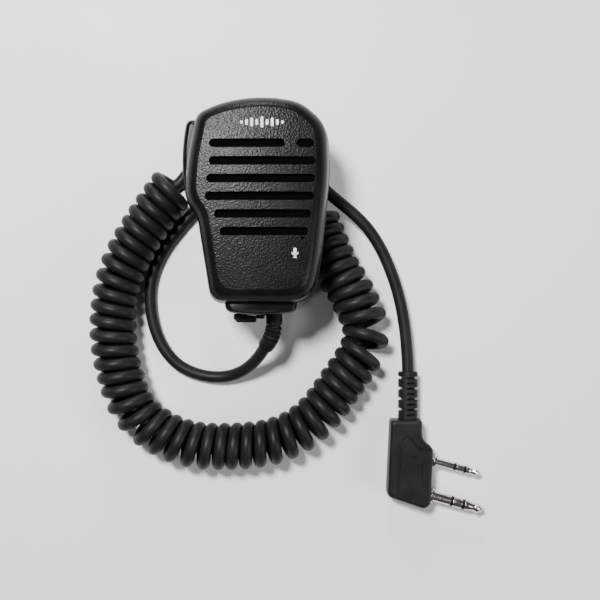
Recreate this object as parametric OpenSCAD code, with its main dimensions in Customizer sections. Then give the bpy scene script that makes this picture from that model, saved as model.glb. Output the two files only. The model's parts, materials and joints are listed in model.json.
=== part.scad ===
// Hand microphone for a two-way radio, lying face up on its belt clip.
// X runs across the handset, Y towards its top and Z up out of the speaker face.
// The origin is on the surface it lies on, below the middle of the handset.

/* [Handset] */
// Height of the back of the handset above the surface
back_z = 13; // [12.5:0.5:14]
// Height of the joint line between the two shells
joint_z = 25; // [24.5:0.5:25.5]
// Height of the speaker face
face_z = 39; // [38.5:0.5:40]
// Wall thickness of the shells
wall = 1.8; // [1.4:0.1:2]
// Thickness of the seal between the shells
seal_t = 0.4; // [0.3:0.1:0.6]

/* [Speaker grille] */
// Height of each slot
slot_h = 2.3; // [2:0.1:2.5]
// Distance from one slot to the next
slot_pitch = 5.35; // [4.8:0.05:5.35]
// Radius of the speaker's rim
speaker_r = 17.6; // [16:0.1:17.8]

/* [Push-to-talk bar] */
// Length of the bar
ptt_len = 26; // [24:0.5:26.5]
// Radius of its pin
ptt_pin_r = 0.8; // [0.6:0.1:1]

/* [Belt clip] */
// Width of the clip's tongue
clip_w = 16; // [14:0.5:16]
// Length of the tongue below the pin
clip_len = 30; // [24:1:32]
// Thickness of the tongue
clip_t = 2.4; // [2:0.1:2.6]
// Radius of the clip's pin
clip_pin_r = 1.2; // [1:0.1:1.3]

/* [Cord] */
// Diameter of the cord
cord_d = 4; // [3.5:0.1:4]
// Outer diameter of the curly part
coil_d = 16.2; // [15.8:0.1:16.2]

/* [Plug] */
// Thickness of the plug body
plug_t = 9.5; // [9:0.1:10]
// Diameter of the large pin
large_d = 3.5; // [3.5:0.1:3.6]
// Diameter of the small pin
small_d = 2.5; // [2.5:0.1:2.6]
// Distance between the two pins
pin_gap = 11.4; // [11:0.1:12]

/* [Hidden] */

eps = 0.01;
clear = 0.05;      // radial clearance of a running fit
round_fn = 48;
corner_steps = 3;  // stretches in each rounded corner of an outline

// Corners of an outline, anticlockwise: [x, y, length of edge given up to the rounding]
face_corners = [[-13.8, -29.2, 4.5], [18.2, -29.4, 8], [20.9, -15, 6], [23.7, 12, 9],
    [22.8, 26.3, 7], [14.5, 33.4, 7], [2.5, 35.4, 14], [-10.5, 33.2, 8], [-18.2, 29.6, 4],
    [-21.5, 13, 7], [-21.7, 2.6, 3], [-17.9, -2.8, 2.5], [-16.2, -14, 5]];
back_corners = [[-10, -27, 4], [11, -27, 4], [12, -15, 5], [12, 6, 5],
    [15.2, 25.6, 5], [10.4, 31.6, 5], [1.4, 33, 10], [-8.6, 31.6, 5], [-14, 28, 4], [-13, 13, 6], [-13, 2.6, 3],
    [-12, -2.8, 2.5], [-11, -14, 5]];
collar_corners = [[-9.8, -26.5, 0.5], [-9.2, -31.8, 2], [2.4, -33.4, 8], [12.8, -32, 2],
    [13.4, -26.5, 0.5]];
collar_front_z = 31;
collar_back_z = 14.6;

// Terraces of the front shell from its rim up: [top, inset]
rim_z = joint_z + seal_t / 2;
rear_rim_z = joint_z - seal_t / 2;
ceiling_z = face_z - wall;
front_terraces = [[face_z - 5, 0.8], [face_z - 2.8, 1.5], [ceiling_z, 2.2]];
// Terraces of the rear shell from its rim down: [share of its depth, share of the way to the back outline]
rear_terraces = [[0.2, 0.08], [0.42, 0.16], [0.66, 0.46], [0.85, 0.86], [1, 1]];
lap = 0.5;

slot_y0 = 19.4;
slots = [[-13.3, 9.3], [-13.3, 18.6], [-14.1, 18.6], [-14.5, 18.3], [-11.7, 17.4], [-10, 16.5]];
short_slot = [13.2, 18.3];
mic_at = [14.8, -9.3];
mic_hole_r = 0.5;
speaker_at = [1.5, 6.5];
board_z = [22.8, 24.4];
cloth_t = 0.3;

screw_at = [[-8, 26.6], [10, 26.6], [-8, -14.5], [8.5, -14.5]];
boss_r = 2.9;
screw_seat_z = 21;
screw_head = [2, 1.3];
screw_r = 1;

bay_x = -16.2;             // back wall of the push-to-talk bay
bay_y = [2.9, 29.8];
bay_z = [16.3, 23.9];
ptt_y0 = 3.4;
ptt_z = [16.8, 23.4];
ptt_x = [-17.7, -23.6];
ptt_pin_at = [-19.6, 5.2];
switch_at = [20, 20.1];    // y and z of the switch behind the bar
plunger_r = 1.2;

clip_y = 1;                // the clip's pin, across the handset
clip_z = 8;
clip_top_y = 10;
ear_x = [6.4, 8];          // the base's ears
lug_x = [4.2, 6.2];        // the lever's lugs
base_z = 11.2;
spring_r = [1.5, 2.5];

jack_at = [-3.4, 19];      // x and z of the earphone socket
jack_r = 1.8;
boot_at = [5.8, 19];       // x and z where the cord leaves the handset
collar_end_y = -33.2;

cord_r = cord_d / 2;
coil_r = coil_d / 2;

// Route of the cord from the boot to the curly part, then from its other end to the plug
mic_route = [[2.9, -43.2, 15], [0.6, -47, 11], [-2.8, -50.4, 7], [-7.4, -53.2, 3.6],
    [-13, -54.4, 2.2], [-19.6, -53.6, 2], [-26.2, -51, 2], [-31.4, -45.8, 2], [-35, -38.4, 2],
    [-36.6, -30, 2], [-36.4, -22, 2], [-34, -14.8, 2], [-30.4, -8.8, 2], [-26, -3.4, 2],
    [-21.4, 1.8, 2], [-16.2, 8, 2], [-10, 13.4, 2], [-2, 16.6, 2], [6.4, 16.2, 2],
    [13, 12.2, 2], [16.8, 6.2, 2], [18.8, 0, 2]];
coil_route = [[18.8, 0], [20.6, -4.6], [22.6, -9.6], [24.8, -14.6], [27.2, -19.4], [30.4, -24.4],
    [33.2, -30], [35.4, -35.4], [35.8, -40.4], [34.4, -45.4], [31, -51], [27.4, -56.2],
    [23.2, -62.2], [18.4, -67.6], [12.6, -71.8], [5.4, -74.8], [-2.4, -76.2], [-10.4, -76.6],
    [-18.4, -76.4], [-25.8, -74.8], [-32.6, -71.6], [-38.4, -67.2], [-42.6, -61], [-45.2, -53.6],
    [-47, -46], [-47.8, -38], [-47.4, -30], [-46.2, -22.6], [-43.8, -15.6], [-40.2, -8.6],
    [-36.2, -2.2], [-32, 4], [-27.8, 9.6]];
plug_route = [[-27.8, 9.6, 2], [-24.8, 13.6, 2], [-20.2, 18.8, 2], [-14.2, 23, 2],
    [-6.6, 25.6, 2], [1.8, 25.6, 2.2], [9.8, 22.4, 3], [15.8, 16.6, 4], [20.4, 10.8, 4.8],
    [25.6, 5.8, 5.2], [31.2, 1.6, 5.2], [36.4, -3.4, 5], [40.4, -9.2, 4.8], [43.6, -16, 4.6],
    [46.2, -23, 4.5], [48, -30, 4.5], [49.2, -37.2, 4.6], [49.9, -44.6, 4.7],
    [50.2, -52, 4.75]];
boot_route = [[5.8, -30, 19], [5.8, -35.2, 19], [5.6, -37.4, 18.6], [5, -39.6, 17.8],
    [4.1, -41.5, 16.6], [2.9, -43.2, 15]];
boot_radii = [2.65, 2.65, 2.6, 2.55, 2.5, 2.5];

relief_y = [-67.8, -52];
relief_r = 3.3;
plug_corners = [[42.9, -93.2, 1.5], [55.6, -97.6, 2], [57.5, -95.6, 1], [58.4, -77.2, 1.5],
    [54.7, -74.4, 2], [54.6, -67.8, 0.8], [44.1, -67.8, 1]];
plug_z = plug_t / 2;
pin_turn = -15.5;
large_at = [57.4, -93.3];
// Each pin: distance from the plug body at which its pieces end, and its collar
large_cuts = [7.2, 8.1, 11.2, 12.1, 18.4];
small_cuts = [5.2, 6, 8.7, 9.5, 14.4];
pin_root = 5;
root_step = 0.5;           // how much thinner each pin's root is than the pin
pin_from = [1.2, -1];      // where each pin's collar ends
core_end = -3.4;

casing = "#2b2a2a";
rubber_black = "#1f1f1f";
nickel = "#cfc9bd";
steel = "#a9acb0";

// ---- outlines and swept shapes ----

function xy(p) = [p[0], p[1]];
function along(a, b) = (b - a) / norm(b - a);
function mix(a, b, t) = a + (b - a) * t;
function before(c, i) = c[(i + len(c) - 1) % len(c)];
function after(c, i) = c[(i + 1) % len(c)];

// Corners of an anticlockwise outline moved inwards by d
function inset(c, d) = [for (i = [0:len(c) - 1])
    let (a = along(xy(before(c, i)), xy(c[i])), b = along(xy(c[i]), xy(after(c, i))),
        na = [-a[1], a[0]], nb = [-b[1], b[0]], p = xy(c[i]) + d * (na + nb) / (1 + na * nb))
    [p[0], p[1], c[i][2]]];

// Outline with every corner rounded. Where two roundings don't fit on their edge, both are cut down
function room(p, q) = min(1, 0.96 * norm(xy(q) - xy(p)) / (p[2] + q[2]));
function soften(c) = [for (i = [0:len(c) - 1])
    let (p = xy(c[i]), cut = c[i][2] * min(room(c[i], before(c, i)), room(c[i], after(c, i))),
        a = p + along(p, xy(before(c, i))) * cut, b = p + along(p, xy(after(c, i))) * cut)
    for (k = [0:corner_steps])
        let (t = k / corner_steps) (1 - t) * (1 - t) * a + 2 * t * (1 - t) * p + t * t * b];

function at_height(outline, z) = [for (p = outline) [p[0], p[1], z]];

// Closed band through rings of points, where the last ring joins the first
module hoop(rings) {
    n = len(rings[0]);
    m = len(rings);
    polyhedron(points = [for (r = rings) each r], faces = [for (j = [0:m - 1], i = [0:n - 1], half = [0, 1])
        let (a = j * n + i, b = j * n + (i + 1) % n, c = (j + 1) % m * n + i, d = (j + 1) % m * n + (i + 1) % n)
        half == 0 ? [a, c, d] : [a, d, b]]);
}

// Closed solid through rings of points, lowest or first ring first
module loft(rings) {
    n = len(rings[0]);
    last = (len(rings) - 1) * n;
    polyhedron(points = [for (r = rings) each r], faces = concat(
        [[for (i = [0:n - 1]) i]],
        [for (j = [0:len(rings) - 2], i = [0:n - 1])
            let (a = j * n + i, b = j * n + (i + 1) % n) [a, a + n, b + n]],
        [for (j = [0:len(rings) - 2], i = [0:n - 1])
            let (a = j * n + i, b = j * n + (i + 1) % n) [a, b + n, b]],
        [[for (i = [n - 1:-1:0]) last + i]]));
}

function heading(r, i) = let (d = r[min(i + 1, len(r) - 1)] - r[max(i - 1, 0)]) d / norm(d);

// Round tube along a route, with one radius for each of its points
module tube(route, radii, sides) {
    loft([for (i = [0:len(route) - 1])
        let (t = heading(route, i), s = cross(t, [0, 0, 1]) / norm(cross(t, [0, 0, 1])),
            up = cross(t, s))
        [for (k = [0:sides - 1])
            route[i] + radii[i] * (cos(k * 360 / sides) * s + sin(k * 360 / sides) * up)]]);
}

module plain_tube(route, r, sides) {
    tube(route, [for (p = route) r], sides);
}

// Straight wire between two points
module wire(a, b, r) {
    d = b - a;
    translate(a)
        rotate([0, acos(d[2] / norm(d)), atan2(d[1], d[0])])
            cylinder(r = r, h = norm(d), $fn = 16);
}

module rod_y(x, z, y0, y1, r) {
    translate([x, y0, z]) rotate([-90, 0, 0]) cylinder(r = r, h = y1 - y0, $fn = round_fn);
}

module rod_x(y, z, x0, x1, r) {
    translate([x0, y, z]) rotate([0, 90, 0]) cylinder(r = r, h = x1 - x0, $fn = round_fn);
}

module rod_z(at, z0, z1, r) {
    translate([at[0], at[1], z0]) cylinder(r = r, h = z1 - z0, $fn = round_fn);
}

// Twelve-sided post or hole in the faceted shells
module block(x, y, z) {
    translate([min(x), min(y), min(z)])
        cube([max(x) - min(x), max(y) - min(y), max(z) - min(z)]);
}

// ---- shells ----

module slab(outline, z0, z1) {
    translate([0, 0, z0]) linear_extrude(z1 - z0) polygon(outline);
}

// Stack that narrows towards the face, up to a given height
module front_stack(gap, z0, top) {
    for (i = [0:len(front_terraces) - 1]) {
        below = i == 0 ? z0 : front_terraces[i - 1][0] - lap;
        if (below < top)
            slab(soften(inset(face_corners, gap + front_terraces[i][1])), below, min(front_terraces[i][0], top));
    }
}

// Stack that narrows towards the back
module rear_stack(gap, depth, z1) {
    a = soften(inset(face_corners, gap));
    b = soften(inset(back_corners, gap));
    for (i = [0:len(rear_terraces) - 1]) {
        above = i == 0 ? z1 : rear_rim_z - depth * rear_terraces[i - 1][0] + lap;
        slab([for (k = [0:len(a) - 1]) mix(a[k], b[k], rear_terraces[i][1])],
            rear_rim_z - depth * rear_terraces[i][0], above);
    }
}

// Outer forms of the shells: [height, inset] and [share of the depth, share of the way to the back outline]
front_outside = [[rim_z, 0], [face_z - 5, 0.8], [face_z - 2.2, 1.6], [face_z - 0.8, 2.7], [face_z, 4.2]];
rear_outside = [[1, 1], [0.85, 0.86], [0.66, 0.46], [0.42, 0.16], [0, 0]];

module front_form() {
    loft([for (v = front_outside) at_height(soften(inset(face_corners, v[1])), v[0])]);
}

module rear_form(depth) {
    a = soften(face_corners);
    b = soften(back_corners);
    loft([for (v = rear_outside)
        at_height([for (i = [0:len(a) - 1]) mix(a[i], b[i], v[1])], rear_rim_z - depth * v[0])]);
}

module collar(z0, z1) {
    slab(soften(collar_corners), z0, z1);
}

module slot(x0, x1, y) {
    r = slot_h / 2;
    translate([0, y, ceiling_z - 1]) linear_extrude(wall + 2) {
        translate([x0 + r, 0]) circle(r, $fn = round_fn);
        translate([x1 - r, 0]) circle(r, $fn = round_fn);
        translate([x0 + r, -r]) square([x1 - x0 - slot_h, slot_h]);
    }
}

module front_shell() {
    color(casing) difference() {
        union() {
            difference() {
                front_form();
                front_stack(wall, rim_z - 1, ceiling_z);
            }
            collar(rim_z, collar_front_z);
            for (p = screw_at) rod_z(p, rim_z + 0.3, ceiling_z + 0.6, boss_r);
        }
        for (i = [0:len(slots) - 1]) slot(slots[i][0], slots[i][1], slot_y0 - i * slot_pitch);
        slot(short_slot[0], short_slot[1], slot_y0);
        rod_z(mic_at, ceiling_z - 1, face_z + 1, mic_hole_r);
        for (p = screw_at) rod_z(p, rim_z - 1, rim_z + 7, screw_r);
    }
}

// Housing round the push-to-talk bar
module bay() {
    translate([0, 0, bay_z[0] - 1.3]) linear_extrude(rear_rim_z - 0.1 - bay_z[0] + 1.3)
        polygon([[bay_x + 1.5, bay_y[0] - 1.5], [bay_x + 1.5, bay_y[1] + 1.5], [bay_x - 0.3, bay_y[1] + 1.5],
            [-20.4, 22], [-20.9, 4], [-20.2, bay_y[0] - 1.5]]);
}

module rear_shell() {
    depth = rear_rim_z - back_z;
    color(casing) difference() {
        union() {
            difference() {
                union() {
                    difference() {
                        rear_form(depth);
                        rear_stack(wall, depth - wall, rear_rim_z + 1);
                    }
                    collar(collar_back_z, rear_rim_z);
                    for (p = screw_at) rod_z(p, back_z + 0.6, rear_rim_z - 0.3, boss_r);
                    rod_z([0, clip_y - 4], back_z + 0.6, back_z + 6, 2.8);
                }
                // pockets and mouths of the socket and of the cord
                block([-7.2, 0.4], [-31, -17.8], [15.2, joint_z]);
                rod_y(jack_at[0], jack_at[1], collar_end_y - 2, -30, 2.9);
                block([2, 9.6], [-30.4, -20], [15.4, joint_z]);
                rod_y(boot_at[0], boot_at[1], collar_end_y - 2, -30, 2.9);
            }
            bay();
        }
        block([-30, bay_x], bay_y, bay_z);
        rod_z(ptt_pin_at, bay_z[0] - 1, bay_z[1] + 0.5, ptt_pin_r);
        rod_x(switch_at[0], switch_at[1], bay_x - 1, bay_x + 3, plunger_r + 0.2);
        for (p = screw_at) {
            rod_z(p, back_z - 5, screw_seat_z, screw_head[0] + 0.2);
            rod_z(p, screw_seat_z - 1, joint_z, screw_r + 0.15);
        }
        rod_z([0, clip_y - 4], back_z - 1, back_z + 5, screw_r);
    }
}

module shell_seal() {
    outer = soften(inset(face_corners, 0.3));
    inner = soften(inset(face_corners, 1.4));
    color(rubber_black) hoop([at_height(inner, rim_z), at_height(inner, rear_rim_z),
        at_height(outer, rear_rim_z), at_height(outer, rim_z)]);
}

module screw(p, head, r, z0, z1) {
    rod_z(p, z0, z0 + head[1], head[0]);
    rod_z(p, z0 + head[1] - eps, z1, r);
}

module shell_screws() {
    color(steel) for (p = screw_at) difference() {
        screw(p, [screw_head[0], screw_head[1]], screw_r, screw_seat_z - screw_head[1], rim_z + 6.5);
        rod_z(p, screw_seat_z - screw_head[1] - 1, screw_seat_z - 0.5, 0.7);
    }
}

// ---- speaker and microphone ----

module grille_cloth() {
    color("#111111") translate([0, 0, ceiling_z - cloth_t]) linear_extrude(cloth_t) difference() {
        polygon([[-15.2, 21.2], [-15.4, 2.6], [-13, -2], [-11.2, -8.9], [12, -8.9], [12, -12.2],
            [16.6, -12.2], [17.6, -5], [18.8, 2], [18.8, 16], [18.2, 21.2]]);
        translate(mic_at) circle(0.9, $fn = round_fn);
    }
}

module speaker_ring(r0, r1, z0, z1) {
    translate([speaker_at[0], speaker_at[1], z0]) rotate_extrude($fn = 64)
        translate([r0, 0]) square([r1 - r0, z1 - z0]);
}

module speaker_gasket() {
    color("#262626") speaker_ring(15.6, speaker_r, ceiling_z - 1.3, ceiling_z - 0.3);
}

module speaker_frame() {
    z = ceiling_z - 1.3;
    color(steel) translate([speaker_at[0], speaker_at[1], 0]) rotate_extrude($fn = 64)
        polygon([[speaker_r, z], [15.6, z], [15.6, z - 0.9], [9, z - 5.4], [0, z - 5.4],
            [0, z - 6.2], [9.4, z - 6.2], [16, z - 1.5], [speaker_r, z - 1.5]]);
}

module speaker_cone() {
    z = ceiling_z - 1.4;
    color("#20201f") translate([speaker_at[0], speaker_at[1], 0]) rotate_extrude($fn = 64)
        polygon([[15.4, z - 0.3], [14.4, z], [13.4, z - 0.3], [6, z - 3.2], [3, z - 1.6], [0, z - 1.1],
            [0, z - 1.5], [3, z - 2], [6, z - 3.7], [13.4, z - 0.8], [14.4, z - 0.5],
            [15.4, z - 0.8]]);
}

module speaker_magnet() {
    z = ceiling_z - 7.5;
    color(nickel) {
        rod_z(speaker_at, z - 2.6, z, 9.4);
    }
}

module speaker_wires() {
    color("firebrick") for (s = [-1, 1])
        wire([speaker_at[0] + 12 + s * 1.2, -4, ceiling_z - 9.4],
            [speaker_at[0] + 9 + s * 1.2, -4, board_z[1]], 0.5);
}

module mic_capsule() {
    color(nickel) rod_z(mic_at, ceiling_z - 3.2, ceiling_z - 0.6, 1.9);
}

module mic_boot() {
    color(rubber_black) translate([mic_at[0], mic_at[1], ceiling_z - 3.6]) difference() {
        cylinder(r = 2.6, h = 3.6 - cloth_t, $fn = round_fn);
        translate([0, 0, -1]) cylinder(r = 1.9, h = 4, $fn = round_fn);
        cylinder(r = 1.2, h = 5, $fn = round_fn);
    }
}

// ---- electronics ----

module circuit_board() {
    color("#1f5b3a") difference() {
        translate([0, 0, board_z[0]]) linear_extrude(board_z[1] - board_z[0])
            polygon([[-12.4, -22], [14.6, -22], [17, -8], [18, 8], [17, 22.6], [-12.4, 22.6]]);
        for (p = screw_at) rod_z(p, board_z[0] - 1, board_z[1] + 1, boss_r + 0.5);
        rod_z([6, -20], board_z[0] - 1, board_z[1] + 1, 0.6);
    }
}

module switch_body() {
    color("#2a2a2e") difference() {
        block([-14.4, -9.4], [switch_at[0] - 3, switch_at[0] + 2.4], [18.4, board_z[0]]);
        rod_x(switch_at[0], switch_at[1], -15, -11.4, plunger_r + clear);
    }
}

module switch_plunger() {
    color("#d8d4c8") rod_x(switch_at[0], switch_at[1], ptt_x[0] + 0.05, -12.6, plunger_r);
}

module plunger_seal() {
    color(rubber_black) translate([bay_x - 0.5, switch_at[0], switch_at[1]]) rotate([0, 90, 0])
        difference() {
            cylinder(r = 2.6, h = 0.5, $fn = round_fn);
            translate([0, 0, -1]) cylinder(r = plunger_r + clear, h = 3, $fn = round_fn);
        }
}

module ear_jack_body() {
    color("#232326") difference() {
        union() {
            block([-6.9, 0.1], [-30.4, -18], [15.5, board_z[0]]);
            rod_y(jack_at[0], jack_at[1], -32.8, -30, 2.7);
        }
        rod_y(jack_at[0], jack_at[1], -34, -19.4, jack_r);
    }
}

module ear_jack_nut() {
    color(nickel) translate([jack_at[0], -31, jack_at[1]]) rotate([-90, 0, 0]) difference() {
        cylinder(r = 3.4, h = 0.6, $fn = 6);
        translate([0, 0, -1]) cylinder(r = 2.7, h = 3, $fn = round_fn);
    }
}

// ---- push-to-talk bar ----

module ptt_button() {
    y1 = ptt_y0 + ptt_len;
    bar = [[ptt_x[0], ptt_y0, 0.8], [ptt_x[0], y1, 0.8], [ptt_x[1] + 1.5, y1, 2],
        [ptt_x[1], y1 - 8, 6], [ptt_x[1] + 0.1, ptt_y0 + 6, 5], [ptt_x[1] + 1.5, ptt_y0, 1.6]];
    color("#262525") difference() {
        loft([for (v = [[ptt_z[0], 0.7], [ptt_z[0] + 0.9, 0.1], [ptt_z[1] - 0.9, 0.1], [ptt_z[1], 0.7]])
            at_height(soften(inset(bar, v[1])), v[0])]);
        rod_z(ptt_pin_at, ptt_z[0] - 1, ptt_z[1] + 1, ptt_pin_r + clear);
    }
}

module ptt_pin() {
    color(steel) rod_z(ptt_pin_at, bay_z[0] - 1.2, bay_z[1] + 0.4, ptt_pin_r);
}

// ---- cord entry ----

module jack_cover() {
    color(rubber_black) difference() {
        block([-7, 0.1], [-35.3, collar_end_y], [15.8, 22.2]);
        translate([-7, -35.3, 19]) rotate([0, 0, 45]) cube([1.6, 1.6, 8], center = true);
    }
}

module jack_cover_strap() {
    color(rubber_black) difference() {
        block([0.5, 2.6], [collar_end_y - 0.9, collar_end_y + 0.8], [17, 21]);
        rod_z([0.5, collar_end_y - 1], 16, 22, 0.4);
    }
}

module handset_boot() {
    color(rubber_black) {
        tube(boot_route, boot_radii, 12);
        rod_y(boot_at[0], boot_at[1], -30.3, -29.3, 3.4);
    }
}

module cord_tail() {
    color(rubber_black) rod_y(boot_at[0], boot_at[1], -29.3, -23, cord_r);
}

module cord_clamp() {
    color("#3a3a3d") difference() {
        block([2.2, 9.4], [-27.6, -24.4], [15.6, 19 + cord_r + 1.2]);
        rod_y(boot_at[0], boot_at[1], -29, -20, cord_r);
        for (s = [-1, 1]) rod_z([boot_at[0] + s * 2.85, -26], 19, 25, 0.6);
    }
}

module clamp_screws() {
    color(steel) for (s = [-1, 1]) {
        rod_z([boot_at[0] + s * 2.85, -26], 19, 19 + cord_r + 1.2, 0.6);
        rod_z([boot_at[0] + s * 2.85, -26], 19 + cord_r + 1.2, 19 + cord_r + 1.9, 0.75);
    }
}

module cord_wires() {
    tones = ["firebrick", "gold", "whitesmoke", "seagreen"];
    for (i = [0:3]) color(tones[i])
        wire([boot_at[0] - 1.2 + i * 0.8, -23, 19], [4 + i * 2, -18.5, board_z[0]], 0.35);
}

// ---- belt clip ----

module clip_base() {
    color("#232222") difference() {
        union() {
            block([-ear_x[1], ear_x[1]], [clip_y - 8, clip_y + 5], [base_z, back_z]);
            for (s = [-1, 1]) {
                block([s * ear_x[0], s * ear_x[1]], [clip_y - 2.6, clip_y + 2.6], [clip_z, base_z + eps]);
                rod_x(clip_y, clip_z, min(s * ear_x[0], s * ear_x[1]), max(s * ear_x[0], s * ear_x[1]), 2.6);
            }
        }
        rod_x(clip_y, clip_z, -10, 10, clip_pin_r);
        rod_z([0, clip_y - 4], base_z - 1, back_z + 1, screw_r + 0.2);
    }
}

module clip_base_screw() {
    color(steel) difference() {
        screw([0, clip_y - 4], [2, 1.1], screw_r, base_z - 1.1, back_z + 4.6);
        rod_z([0, clip_y - 4], base_z - 2, base_z - 0.6, 0.7);
    }
}

module clip_lever() {
    half = clip_w / 2;
    tip_y = clip_y - clip_len;
    corners = [[-half + 1.2, tip_y, 3], [half - 1.2, tip_y, 3], [half, clip_y - 8, 4],
        [half, clip_top_y, 3], [-half, clip_top_y, 3], [-half, clip_y - 8, 4]];
    color("#232222") difference() {
        union() {
            linear_extrude(clip_t) polygon(soften(corners));
            block([-half + 3, half - 3], [tip_y + 0.6, tip_y + 2.6], [clip_t - eps, clip_t + 2.6]);
            for (s = [-1, 1]) {
                block([s * lug_x[0], s * lug_x[1]], [clip_y - 2.6, clip_y + 2.6], [clip_t - eps, clip_z]);
                rod_x(clip_y, clip_z, min(s * lug_x[0], s * lug_x[1]), max(s * lug_x[0], s * lug_x[1]), 2.6);
            }
            for (i = [0:3]) block([-half + 3, half - 3], [clip_top_y - 5 + i * 1.2, clip_top_y - 4.4 + i * 1.2],
                [clip_t - eps, clip_t + 0.4]);
        }
        rod_x(clip_y, clip_z, -10, 10, clip_pin_r + clear);
    }
}

module clip_pin() {
    color(steel) rod_x(clip_y, clip_z, -ear_x[1], ear_x[1], clip_pin_r);
}

module clip_spring() {
    leg = 0.4;
    color(steel) {
        translate([-3.8, clip_y, clip_z]) rotate([0, 90, 0]) rotate_extrude($fn = 48)
            for (i = [0:7]) translate([(spring_r[0] + spring_r[1]) / 2, 0.5 + i * 0.96])
                circle((spring_r[1] - spring_r[0]) / 2, $fn = 16);
        for (s = [-1, 1]) wire([s * 3.3, clip_y - 2, clip_z - s * 0.3],
            [s * 3.3, clip_y - 6, s > 0 ? clip_t + leg + 0.1 : base_z - leg - 0.1], leg);
    }
}

// ---- cord ----

module mic_lead() {
    color(rubber_black) plain_tube(mic_route, cord_r, 8);
}

module cord_coil() {
    color("#252424") plain_tube([for (p = coil_route) [p[0], p[1], coil_r]], coil_r, 12);
}

module plug_lead() {
    color(rubber_black) plain_tube(plug_route, cord_r, 8);
}

// ---- plug ----

module plug_strain_relief() {
    x = plug_route[len(plug_route) - 1][0];
    color(rubber_black) difference() {
        rod_y(x, plug_z, relief_y[0], relief_y[1], relief_r);
        for (i = [0:4], s = [-1, 1])
            translate([x + s * relief_r, relief_y[1] - 1.6 - i * 3.4, plug_z])
                cube([2.4, 1, 8], center = true);
        for (i = [0:3], s = [-1, 1])
            translate([x, relief_y[1] - 3.3 - i * 3.4, plug_z + s * relief_r])
                cube([4, 1, 2], center = true);
    }
}

function plug_shape(d) = soften(inset(plug_corners, d));

module plug_body() {
    color(casing) difference() {
        loft([for (v = [[0, 1.2], [1.4, 0.2], [plug_z, 0], [plug_t - 1.4, 0.2], [plug_t, 1.2]])
            at_height(plug_shape(v[1]), v[0])]);
        plug_core_shape();
        for (at = [[0, large_d], [1, small_d]])
            place_pin(at[0]) rotate([0, 90, 0]) translate([0, 0, core_end - 0.2])
                cylinder(d = at[1] - root_step, h = 6, $fn = round_fn);
    }
}

// Places along the pins: 0 is the large one and 1 the small one
module place_pin(i) {
    translate([large_at[0], large_at[1], plug_z]) rotate([0, 0, pin_turn])
        translate([0, i * pin_gap, 0]) children();
}

module plug_core_shape() {
    translate([large_at[0], large_at[1], plug_z]) rotate([0, 0, pin_turn])
        block([-pin_root - 4, core_end], [-2.4, pin_gap + 2], [-3, 3]);
}

module plug_core() {
    color("#4a4743") difference() {
        plug_core_shape();
        for (at = [[0, large_d], [1, small_d]])
            place_pin(at[0]) rotate([0, 90, 0]) translate([0, 0, -pin_root])
                cylinder(d = at[1] - root_step, h = 9, $fn = round_fn);
    }
}

module pin_piece(i, d, x0, x1) {
    place_pin(i) translate([x0, 0, 0]) rotate([0, 90, 0]) cylinder(d = d, h = x1 - x0, $fn = round_fn);
}

module pin_sleeve(i, d, cuts) {
    color(nickel) {
        pin_piece(i, d - root_step, -pin_root, pin_from[i] - 0.7);
        pin_piece(i, d + 1.4, pin_from[i] - 0.8, pin_from[i]);
        pin_piece(i, d, pin_from[i], cuts[0]);
    }
}

// Waisted contact with a blunt point
module pin_tip(i, d, x0, x1) {
    r = d / 2;
    color(nickel) place_pin(i) rotate([0, 90, 0]) rotate_extrude($fn = round_fn)
        polygon([[0, x0], [r, x0], [r, x0 + 1], [r * 0.72, x1 - 3.2], [r * 0.72, x1 - 2.8], [r, x1 - 1.9],
            [r * 0.9, x1 - 1.4], [r * 0.35, x1 - 0.1], [0, x1]]);
}

module pin_insulators(i, d, cuts) {
    color("#141414") {
        pin_piece(i, d, cuts[0], cuts[1]);
        pin_piece(i, d, cuts[2], cuts[3]);
    }
}

module large_pin_sleeve() { pin_sleeve(0, large_d, large_cuts); }
module large_pin_ring() { color(nickel) pin_piece(0, large_d, large_cuts[1], large_cuts[2]); }
module large_pin_tip() { pin_tip(0, large_d, large_cuts[3], large_cuts[4]); }
module large_pin_insulators() { pin_insulators(0, large_d, large_cuts); }
module small_pin_sleeve() { pin_sleeve(1, small_d, small_cuts); }
module small_pin_ring() { color(nickel) pin_piece(1, small_d, small_cuts[1], small_cuts[2]); }
module small_pin_tip() { pin_tip(1, small_d, small_cuts[3], small_cuts[4]); }
module small_pin_insulators() { pin_insulators(1, small_d, small_cuts); }

front_shell();
rear_shell();
shell_seal();
shell_screws();
grille_cloth();
speaker_gasket();
speaker_frame();
speaker_cone();
speaker_magnet();
speaker_wires();
mic_capsule();
mic_boot();
circuit_board();
switch_body();
switch_plunger();
plunger_seal();
ptt_button();
ptt_pin();
ear_jack_body();
ear_jack_nut();
jack_cover();
jack_cover_strap();
handset_boot();
cord_tail();
cord_clamp();
clamp_screws();
cord_wires();
clip_base();
clip_base_screw();
clip_lever();
clip_pin();
clip_spring();
mic_lead();
cord_coil();
plug_lead();
plug_strain_relief();
plug_body();
plug_core();
large_pin_sleeve();
large_pin_ring();
large_pin_tip();
large_pin_insulators();
small_pin_sleeve();
small_pin_ring();
small_pin_tip();
small_pin_insulators();
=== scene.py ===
"""Looks of the hand microphone: its shells, curly cord and plug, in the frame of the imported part."""

import json
import math

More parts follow.
